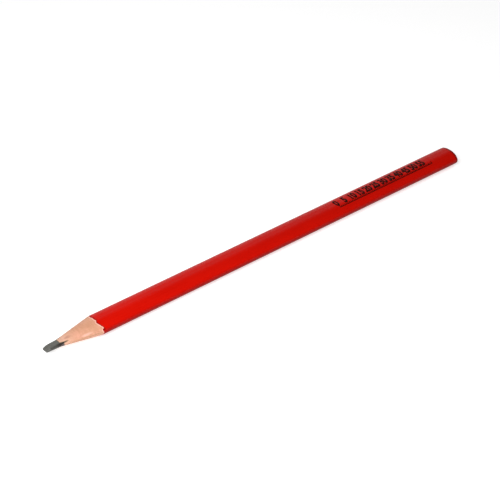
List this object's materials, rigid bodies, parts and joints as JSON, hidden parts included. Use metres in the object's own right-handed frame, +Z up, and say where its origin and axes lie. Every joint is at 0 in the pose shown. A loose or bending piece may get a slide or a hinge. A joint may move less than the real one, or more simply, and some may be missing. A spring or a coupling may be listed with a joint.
{
  "type": "carpenter pencil",
  "caption": "Oval carpenter's pencil with a flat graphite lead in glued wooden slats, red lacquer, sharpened to a chisel point.",
  "frame": {"origin": "under the middle of the pencil, on the surface that it lies on: the bottom centre of its bounding box", "axes": "+X along the pencil from the point towards the rear end, +Z up through its thickness, so Y is across its width"},
  "size_m": [0.24, 0.0122, 0.0073],
  "materials": {
    "wood": "bare, machine-cut",
    "graphite": "satin",
    "glue": "matte",
    "base_coat": "matte",
    "red_lacquer": "gloss",
    "black_ink": "satin"
  },
  "bodies": {
    "root": {"upper_slat": "wood", "lower_slat": "wood", "graphite_core": "graphite", "core_bedding": "glue", "glue_line_left": "glue", "glue_line_right": "glue", "base_coat": "base_coat", "red_lacquer": "red_lacquer", "scale_print": "black_ink"}
  },
  "joints": []
}
